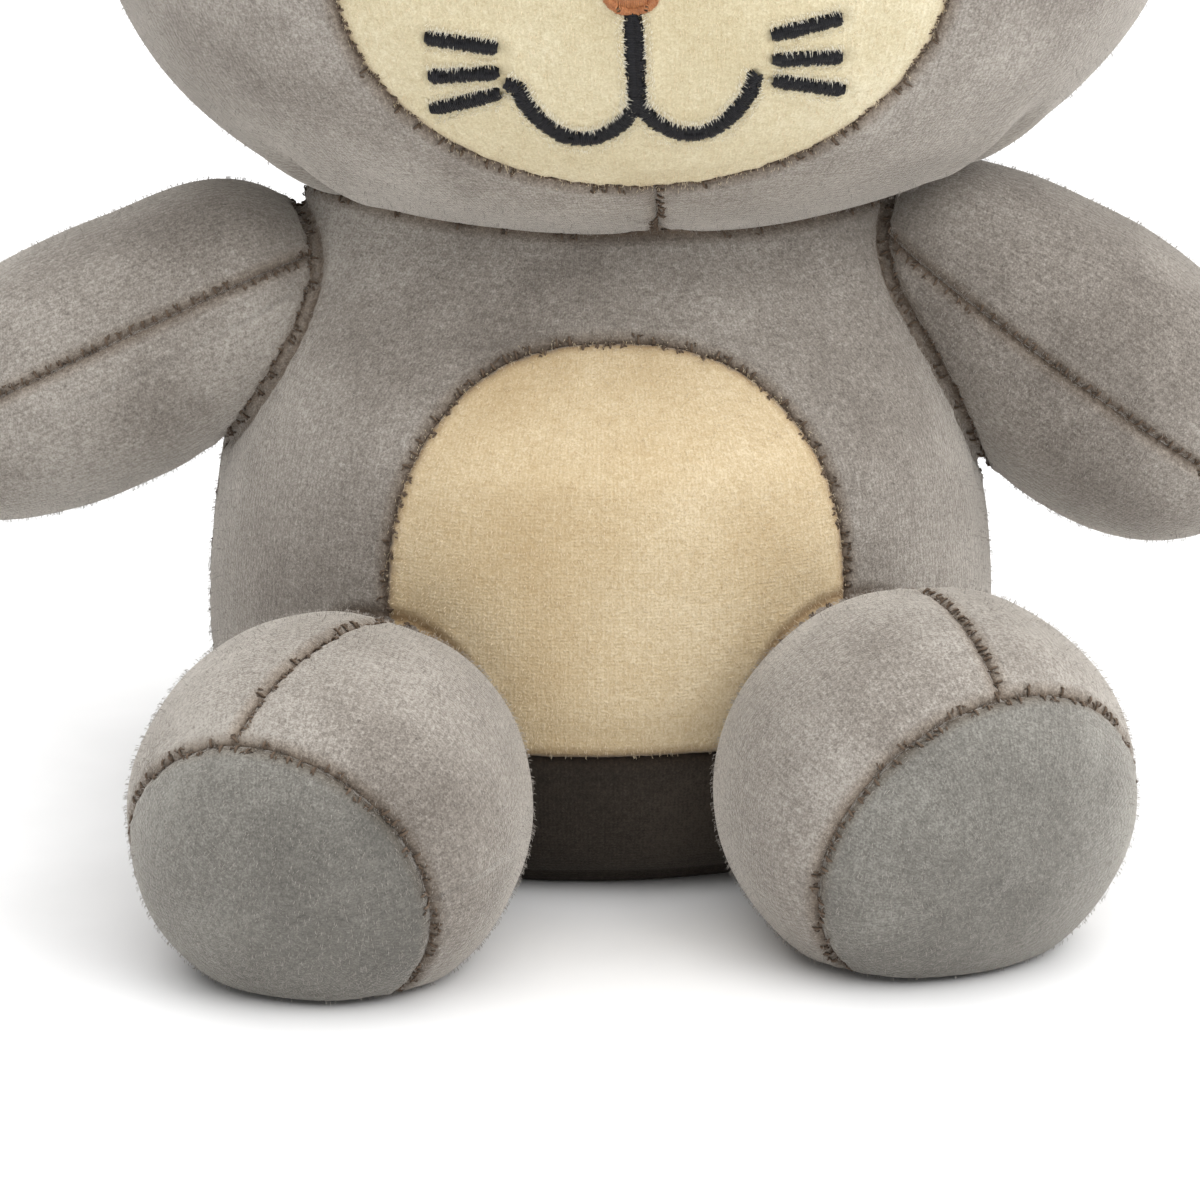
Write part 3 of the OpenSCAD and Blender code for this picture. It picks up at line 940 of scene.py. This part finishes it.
def face():
    """The embroidery: nose, mouth, whiskers and eyes."""
    made = []
    nose = Threads()
    middle = NOSE_FOOT + NOSE_H / 2
    satin_oval(nose, FACE_X, middle, NOSE_W / 2 - 1.0, NOSE_H / 2 - 1.0, lift=0.9, upright=True, seed=5)
    ring = [(FACE_X + (NOSE_W / 2 - 0.8) * math.cos(a), middle + (NOSE_H / 2 - 0.8) * math.sin(a))
            for a in np.linspace(0, 2 * math.pi, 60)]
    satin(nose, ring, 1.9, lift=1.1, seed=6, closed=True)
    made.append(nose.piece("nose_satin", BROWN, "brown_thread"))
    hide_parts("nose")

    lines = face_paths()
    mouth = Threads()
    for k, (path, width) in enumerate(lines[:3]):
        satin(mouth, path, width, seed=7 + k)
    made.append(mouth.piece("mouth_satin", BLACK, "black_thread"))
    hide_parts("mouth")
    for side, rows in ((RIGHT, lines[3:6]), (LEFT, lines[6:9])):
        name = SIDE_NAME[side]
        whiskers = Threads()
        for k, (path, width) in enumerate(rows):
            satin(whiskers, path, width, seed=20 + 3 * side + k)
        made.append(whiskers.piece(f"whiskers_{name}_satin", BLACK, "black_thread"))
        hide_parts(f"whiskers_{name}")

        eye = Threads()
        low, high = (f(HEAD.local(node_points(f"eye_{name}")), 0) for f in (np.min, np.max))
        centre, half = (low + high) / 2, (high - low) / 2
        satin_oval(eye, centre[0] + FACE_X, centre[2], half[0], half[2], lift=1.2, seed=30 + side)
        made.append(eye.piece(f"eye_{name}_satin", BLACK, "black_thread"))
        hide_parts(f"eye_{name}")
    made.append(halo())
    return made


# ---- Ears and tail ----

EAR_EDGE_T = 1.0


def ear_layer(place, width, height, thick, front):
    """One layer of an ear: a padded half oval, closed, curved forwards a little."""
    rows, columns = 34, 44
    bm = bmesh.new()
    sheets = []
    for outer in (True, False):
        grid = []
        for i in range(rows + 1):
            v = i / rows
            grid.append([])
            for j in range(columns + 1):
                u = 2 * j / columns - 1
                x = width / 2 * u * math.sqrt(max(0, 1 - (v * 0.999) ** 2.3)) ** 0.95
                z = -7 + (height + 7) * v * (1 - 0.06 * u * u)
                edge = (1 - abs(u) ** 2.6) * (1 - v ** 3.2)
                puff = EAR_EDGE_T * 0.5 + (thick - EAR_EDGE_T * 0.5) * max(0, edge) ** 0.5
                dish = 2.2 * (x / (width / 2)) ** 2 + 1.5 * (z / height) ** 2
                depth = puff if outer else 0.06
                y = (-depth if front else depth) - dish
                grid[i].append(bm.verts.new(place.world([x, y, z])))
        sheets.append(grid)
    outer, inner = sheets
    for i in range(rows):
        for j in range(columns):
            bm.faces.new((outer[i][j], outer[i][j + 1], outer[i + 1][j + 1], outer[i + 1][j]))
            bm.faces.new((inner[i][j], inner[i + 1][j], inner[i + 1][j + 1], inner[i][j + 1]))
    rim = [(0, j) for j in range(columns)] + [(i, columns) for i in range(rows)]
    rim += [(rows, j) for j in range(columns, 0, -1)] + [(i, 0) for i in range(rows, 0, -1)]
    for (i, j), (k, m) in zip(rim, rim[1:] + rim[:1]):
        bm.faces.new((outer[k][m], outer[i][j], inner[i][j], inner[k][m]))
    bmesh.ops.remove_doubles(bm, verts=bm.verts, dist=0.02)
    bmesh.ops.dissolve_degenerate(bm, edges=bm.edges, dist=0.01)
    bmesh.ops.recalc_face_normals(bm, faces=bm.faces)
    bm.verts.index_update()
    bm.normal_update()
    edge_points = [(v.co.copy()) for v in outer[0] if v.is_valid]
    layer = bm.verts.layers.float.new("seam_mm")
    cloth = bm.verts.layers.float_vector.new("cloth_mm")
    for v in bm.verts:
        q = place.local(v.co)
        share = math.hypot(2 * q[0] / width, max(0, q[2]) / height)
        # seam_mm falls to 0 at the ear's rim, so the plush material paints shade along the rim seam
        v[layer] = max(0.0, (1 - share) * height * 0.8)
        v[cloth] = (float(q[0]), float(q[2]), 0.0)
    return bm


def ears():
    for side in (RIGHT, LEFT):
        name = f"ear_{SIDE_NAME[side]}"
        joint = JOINTS[f"{name}_fold"]
        axis = unit(joint["axis"])
        pivot = pivot_of(f"{name}_fold")
        points = node_points(f"{name}_front", f"{name}_back")
        up = unit(np.cross(axis, np.cross(points.mean(0) - pivot, axis)))
        place = Place(pivot, axis, up)
        q = place.local(points)
        width, height = np.ptp(q[:, 0]) - 1, q[:, 2].max() - 1
        thick = np.abs(q[:, 1]).max() * 0.9
        pieces = []
        for part, front, material, slot in (("front", True, CREAM, "cream_plush"), ("back", False, GREY, "grey_plush")):
            bm = ear_layer(place, width, height, thick, front)
            relax_noise(bm, 0.12, 25, 300 + side)
            piece = write(bm, f"{name}_skin_{part}", material, thickness=0)
            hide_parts(f"{name}_{part}")
            pieces.append(piece)
            pieces.append(pile(f"{name}_{part}_pile", bm, 1500, 310 + side, CREAM_PILE if front else GREY_PILE, slot))
            bm.free()
        start, end = place.world([0, 0, -2]) * MM, place.world([0, 0, 16]) * MM
        for piece in pieces:
            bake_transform(piece)


def tail():
    pivot = pivot_of("tail_lift")
    points = node_points("tail_right", "tail_left")
    tip = points[np.argmax(np.linalg.norm(points - pivot, axis=1))]
    out = unit([0, tip[1] - pivot[1], tip[2] - pivot[2]])
    place = Place(pivot, X, out)
    q = place.local(points)
    length, radius = q[:, 2].max(), np.abs(q[:, 0]).max()
    outline = full_profile(-12, length, radius - 0.5, 2.6, radius * 0.9)
    skin = revolve(place, *even_profile(outline, 1.1), spacing=1.1)
    relax_noise(skin, 0.25, 30, 320)
    seam = junction(skin, torso_tree)
    cut_level(skin, lambda p: p[:, 0])
    own = panel_seams(skin, lambda p: np.where(p[:, 0] < 0, 0, 1))
    sew(skin, list(own.values()) + [seam], pull=0.5, depth=0.8, seed=321)
    lay_cloth(skin, lambda p: np.arctan2(place.local(p)[:, 1], place.local(p)[:, 0]) * radius,
              lambda p: place.local(p)[:, 2])
    tree = bvh(skin)
    fill = revolve(place, *even_profile(outline, 3.0), spacing=3.0)
    set_coords(fill, coords(fill) - normals(fill) * FILL_T)
    clear_of(fill, torso_tree, out, 1.0)
    pieces = [stuffing(fill, "tail_fibre", "tail_stuffing")]
    drop_inside(skin, lambda p: signed_distance(torso_tree, p), 5)
    pieces += panels(skin, None, (("tail_skin_right", "tail_right", 0, GREY, "grey_plush"),
                                  ("tail_skin_left", "tail_left", 1, GREY, "grey_plush")))
    clear = lambda p: signed_distance(torso_tree, [p])[0] > -0.5
    pieces.append(stitches("tail_stitches", list(own.values()) + [seam], tree, 322, clear))
    pieces.append(pile("tail_pile", skin, 3000, 323, GREY_PILE, "grey_plush", clear))
    for piece in pieces:
        place.world([0, 0, -4]) * MM
        place.world([0, 0, 18]) * MM
        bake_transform(piece)


# ---- Build ----

def drop_inside(bm, level, depth):
    """Takes away faces deeper than `depth` inside the neighbour, which nothing shows."""
    value = level(np.array([f.calc_center_median() for f in bm.faces], float))
    bmesh.ops.delete(bm, geom=[f for f, v in zip(bm.faces, value) if v < -depth], context="FACES")


def junction(bm, tree):
    """The line where a limb's skin meets the surface it's sewn to, cut into the skin."""
    cut_level(bm, lambda p: signed_distance(tree, p))
    value = signed_distance(tree, np.array([f.calc_center_median() for f in bm.faces], float))
    inside = {f for f, v in zip(bm.faces, value) if v < 0}
    edges = [e for e in bm.edges if len(e.link_faces) == 2 and (e.link_faces[0] in inside) != (e.link_faces[1] in inside)]
    return Seam(smooth_runs(chain(edges)))


def stuffing(bm, name, node):
    """The filling under a skin, as one closed body."""
    obj = write(bm, name, FIBRE, thickness=0)
    bm.free()
    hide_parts(node)
    return obj


def press_flat(bm, floor=0.0):
    """The underside settles on what the toy sits on, with a soft edge."""
    points = coords(bm)
    over = points[:, 2] - floor
    points[:, 2] = floor + np.where(over < 2, 2 * np.exp(np.minimum(0, over - 2) / 2), over)
    set_coords(bm, points)


def clear_of(bm, tree, out, gap):
    """Moves filling that would lie inside its neighbour out of it, along `out`."""
    points = coords(bm)
    distance = signed_distance(tree, points)
    for i in np.flatnonzero(distance < gap):
        p = points[i]
        if distance[i] < 0:
            hit = tree.ray_cast(Vector(p), Vector(out))
            if hit[0] is not None:
                p = np.array(hit[0]) + np.array(out) * 0.2
        near, normal, _, _ = tree.find_nearest(Vector(p))
        points[i] = np.array(near) + np.array(normal) * gap
    set_coords(bm, points)


def panels(bm, body, pieces):
    """Writes each panel of a skin, in place of its CAD node."""
    made = []
    for name, node, key, material, slot in pieces:
        piece = write(bm, name, material, keep={key})
        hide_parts(node)
        if body:
            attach(piece, body)
        made.append(piece)
    return made


def stitches(name, seams, skin, seed, keep=lambda p: True):
    threads = Threads()
    for k, seam in enumerate(seams):
        stitch_seam(threads, seam, skin, seed + k, keep=keep)
    return threads.piece(name, STITCH, "brown_thread")


def pile(name, bm, count, seed, material, slot, keep=lambda centre: True, length=1.25, radius=0.055, lean=0.75):
    """Loose ends of the plush's pile, lying with its nap, each a short tapered fibre."""
    dice = random.Random(seed)
    faces = [f for f in bm.faces if keep(f.calc_center_median())]
    areas = np.cumsum([f.calc_area() for f in faces])
    fibres = Threads()
    for _ in range(count):
        f = faces[int(np.searchsorted(areas, dice.uniform(0, areas[-1])))]
        weights = np.array([dice.random() ** 2 + 0.01 for _ in f.verts])
        weights /= weights.sum()
        p = sum(w * np.array(v.co) for w, v in zip(weights, f.verts))
        n = np.array(f.normal)
        nap = -Z - n * np.dot(-Z, n) + 0.35 * np.array([dice.gauss(0, 1) for _ in range(3)])
        nap = nap - n * np.dot(nap, n)
        nap = unit(nap + 1e-6 * X)
        reach = length * dice.uniform(0.6, 1.2)
        tip = dice.uniform(0.3, 1.0) * lean
        path = [p - 0.3 * n, p + reach * (0.45 * n + 0.3 * tip * nap), p + reach * (0.75 * n * (1.2 - tip) + tip * nap)]
        fibres.strand(path, radius, sides=3)
    return fibres.piece(name, material, slot)


torso = torso_base()
relax_noise(torso, 0.5, 60, 3)
torso_tree = bvh(torso)
head = head_base()
relax_noise(head, 0.5, 70, 4)
head_tree = bvh(head)
limbs = {limb.name: (limb, limb.skin()) for limb in ARMS + LEGS}
for limb, skin in limbs.values():
    relax_noise(skin, 0.35, 42, 10 + limb.side)
    if limb in LEGS:
        press_flat(skin)
limb_seams = {name: junction(skin, torso_tree) for name, (limb, skin) in limbs.items()}

# Torso skin
neck_seam = junction(torso, head_tree)
for level in (lambda p: p[:, 2] - BASE_SEAM_Z, tummy_level, lambda p: p[:, 1],
              lambda p: np.where(p[:, 1] > 0, p[:, 0], 9.0)):
    cut_level(torso, level)
torso_seams = panel_seams(torso, torso_panel)
sew(torso, list(torso_seams.values()) + [neck_seam] + list(limb_seams.values()), seed=30)
lay_cloth(torso, lambda p: np.arctan2(p[:, 0], np.abs(p[:, 1])) * TORSO_W * 0.9, lambda p: p[:, 2])
torso_skin = bvh(torso)
drop_inside(torso, lambda p: signed_distance(head_tree, p), 5)

fill = torso_base(4.0)
set_coords(fill, coords(fill) - normals(fill) * FILL_T)
clear_of(fill, head_tree, -Z, FILL_T)
body_fill = stuffing(fill, "torso_fibre", "torso_stuffing")
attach(body_fill, "torso")
panels(torso, "torso", (
    ("torso_front", "torso_front_panel", FRONT, GREY, "grey_plush"),
    ("torso_tummy", "tummy_panel", TUMMY, CREAM, "cream_plush"),
    ("torso_back_r", "torso_back_right", BACK_RIGHT, GREY, "grey_plush"),
    ("torso_back_l", "torso_back_left", BACK_LEFT, GREY, "grey_plush"),
    # the base panel takes the dark plush that paints the shade under the body
    ("torso_base", "base_panel", UNDER, BASE, "base_plush")))
outside_head = lambda p: signed_distance(head_tree, [p])[0] > -1
above_base = lambda p: outside_head(p) and p[2] > BASE_SEAM_Z + 1.5
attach(stitches("torso_stitches", list(torso_seams.values()) + [neck_seam], torso_skin, 60, above_base), "torso")

# Head skin
for level in (muzzle_level, lambda p: HEAD.local(p)[:, 1],
              lambda p: np.where(muzzle_level(p) > 0, HEAD.local(p)[:, 0] - FACE_X / 2, 9.0)):
    cut_level(head, level)
head_seams = panel_seams(head, head_panel)
sew(head, list(head_seams.values()), seed=50)
crease(head)
press_embroidery(head)
lay_cloth(head, lambda p: np.arctan2(HEAD.local(p)[:, 0], np.abs(HEAD.local(p)[:, 1]) + 8) * HEAD_W * 0.8,
          lambda p: HEAD.local(p)[:, 2])
head_skin = bvh(head)
fill = head_base(4.0)
set_coords(fill, coords(fill) - normals(fill) * FILL_T)
head_fill = stuffing(fill, "head_fibre", "head_stuffing")
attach(head_fill, "head")
panels(head, "head", (
    ("head_face_r", "head_front_right", FACE_RIGHT, GREY, "grey_plush"),
    ("head_face_l", "head_front_left", FACE_LEFT, GREY, "grey_plush"),
    ("head_muzzle", "muzzle_panel", MUZZLE, MUZZLE_CREAM_PAINTED_LIGHT, "cream_plush"),
    ("head_nape_r", "head_back_right", NAPE_RIGHT, GREY, "grey_plush"),
    ("head_nape_l", "head_back_left", NAPE_LEFT, GREY, "grey_plush")))
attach(stitches("head_stitches", list(head_seams.values()), head_skin, 70), "head")
for piece in face():
    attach(piece, "head")

# Arm and leg skins
for name, (limb, skin) in limbs.items():
    place = limb.place
    if limb in ARMS:
        turn = math.radians(ARM_SEAM_TURN[limb.side])
        under = np.array([limb.side * math.sin(turn), math.cos(turn), 0])
        cut_level(skin, lambda p: place.local(p) @ under)
        panel = lambda p: np.where(place.local(p) @ under < 0, 0, 1)
        parts = (("upper", 0), ("under", 1))
    else:
        lean, dip, distance = SOLES[limb.side]
        normal = unit([-limb.side * lean, dip, 1])
        at_hip, slope = TOP_SEAMS[limb.side]
        sole = lambda p: place.local(p) @ normal - distance
        top = lambda p: place.local(p)[:, 0] - at_hip - slope * (place.local(p)[:, 2] - 18)
        cut_level(skin, sole)
        cut_level(skin, lambda p: np.where(sole(p) > 0, 9.0, top(p)))
        outer = -limb.side
        panel = lambda p: np.where(sole(p) > 0, 2, np.where(top(p) * outer > 0, 0, 1))
        parts = (("outer", 0), ("inner", 1), ("sole", 2))
    own = panel_seams(skin, panel)
    seam = limb_seams[name]
    sew(skin, list(own.values()) + [seam], seed=80 + len(name) + limb.side)
    if limb in LEGS:
        press_flat(skin)
    lay_cloth(skin, lambda p: np.arctan2(place.local(p)[:, 1], place.local(p)[:, 0]) * limb.radius * 0.8,
              lambda p: place.local(p)[:, 2])
    tree = bvh(skin)
    fill = limb.skin(4.0)
    set_coords(fill, coords(fill) - normals(fill) * FILL_T)
    if limb in LEGS:
        press_flat(fill, FILL_T)
    clear_of(fill, torso_tree, place.axes[2], 1.0)
    pieces = [stuffing(fill, f"{name}_fibre", f"{name}_stuffing")]
    drop_inside(skin, lambda p: signed_distance(torso_tree, p), 5)
    pieces += panels(skin, None, [(f"{name}_skin_{part}", f"{name}_{part}", key, SOLE if part == "sole" else GREY,
                                   "grey_plush") for part, key in parts])
    clear = lambda p: signed_distance(torso_tree, [p])[0] > -0.5
    pieces.append(stitches(f"{name}_stitches", list(own.values()) + [seam], tree, 90 + len(name) + limb.side, clear))
    pieces.append(pile(f"{name}_pile", skin, 6000, 200 + len(name) + limb.side, GREY_PILE, "grey_plush",
                       lambda c: clear(c) and c.z > 1.5))
    start, end = place.world([0, 0, -6]) * MM, place.world([0, 0, 26]) * MM
    for piece in pieces:
        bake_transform(piece)

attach(pile("torso_pile", torso, 9000, 220, GREY_PILE, "grey_plush",
             lambda c: torso_panel(np.array([c]))[0] not in (TUMMY, UNDER) and outside_head(c)), "torso")
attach(pile("tummy_pile", torso, 4000, 221, CREAM_PILE, "cream_plush",
             lambda c: torso_panel(np.array([c]))[0] == TUMMY), "torso")
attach(pile("head_pile", head, 13000, 222, GREY_PILE, "grey_plush",
             lambda c: head_panel(np.array([c]))[0] != MUZZLE), "head")
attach(pile("muzzle_pile", head, 4000, 223, CREAM_PILE, "cream_plush",
             lambda c: head_panel(np.array([c]))[0] == MUZZLE), "head")

ears()
tail()

node = frame["nodes"]["pellet_bag"]
node.data.materials.clear()
node.data.materials.append(PELLET)


# ---- Floor, light and camera ----

def stage():
    bpy.ops.mesh.primitive_plane_add(size=80, location=(0, 0, 0))
    floor = bpy.context.object
    floor.name = "floor"
    n = Nodes("floor_paper")
    position = n.add("ShaderNodeTexCoord").outputs["Object"]
    grain = n.noise(position, 40.0)
    n.put(n.shader.inputs["Base Color"], n.ramp(grain, (0.3, (0.9, 0.9, 0.9, 1)), (0.7, (0.93, 0.93, 0.93, 1))))
    n.shader.inputs["Roughness"].default_value = 0.9
    floor.data.materials.append(n.material)
    world = bpy.data.worlds.new("studio")
    world.use_nodes = True
    world.node_tree.nodes["Background"].inputs["Color"].default_value = (1, 1, 1, 1)
    world.node_tree.nodes["Background"].inputs["Strength"].default_value = 0.4
    bpy.context.scene.world = world


def area(name, location, target, size, power):
    light = bpy.data.lights.new(name, "AREA")
    light.shape = "DISK"
    light.size = size
    light.energy = power
    obj = bpy.data.objects.new(name, light)
    obj.location = location
    obj.rotation_euler = (Vector(target) - Vector(location)).to_track_quat("-Z", "Y").to_euler()
    bpy.context.scene.collection.objects.link(obj)


def sun(name, towards, strength, spread):
    light = bpy.data.lights.new(name, "SUN")
    light.energy = strength
    light.angle = math.radians(spread)
    obj = bpy.data.objects.new(name, light)
    obj.rotation_euler = Vector(towards).to_track_quat("Z", "Y").to_euler()
    bpy.context.scene.collection.objects.link(obj)


def camera():
    data = bpy.data.cameras.new("camera")
    data.sensor_width = 36
    data.lens = 150
    data.clip_start = 0.05
    obj = bpy.data.objects.new("camera", data)
    azimuth, distance, height = math.radians(-3.4), 1.0, 0.365
    obj.location = (distance * math.sin(azimuth), -distance * math.cos(azimuth), height)
    aim = Vector((0, 0, 0.042))
    obj.rotation_euler = (aim - obj.location).to_track_quat("-Z", "Y").to_euler()
    bpy.context.scene.collection.objects.link(obj)
    bpy.context.scene.camera = obj


stage()
sun("overhead", (0.24, -0.02, 1.0), 3.8, 110)
area("front", (0.85, -0.9, 1.15), (0, 0, 0.1), 1.0, 6)
bpy.context.scene.view_settings.view_transform = "Standard"
camera()
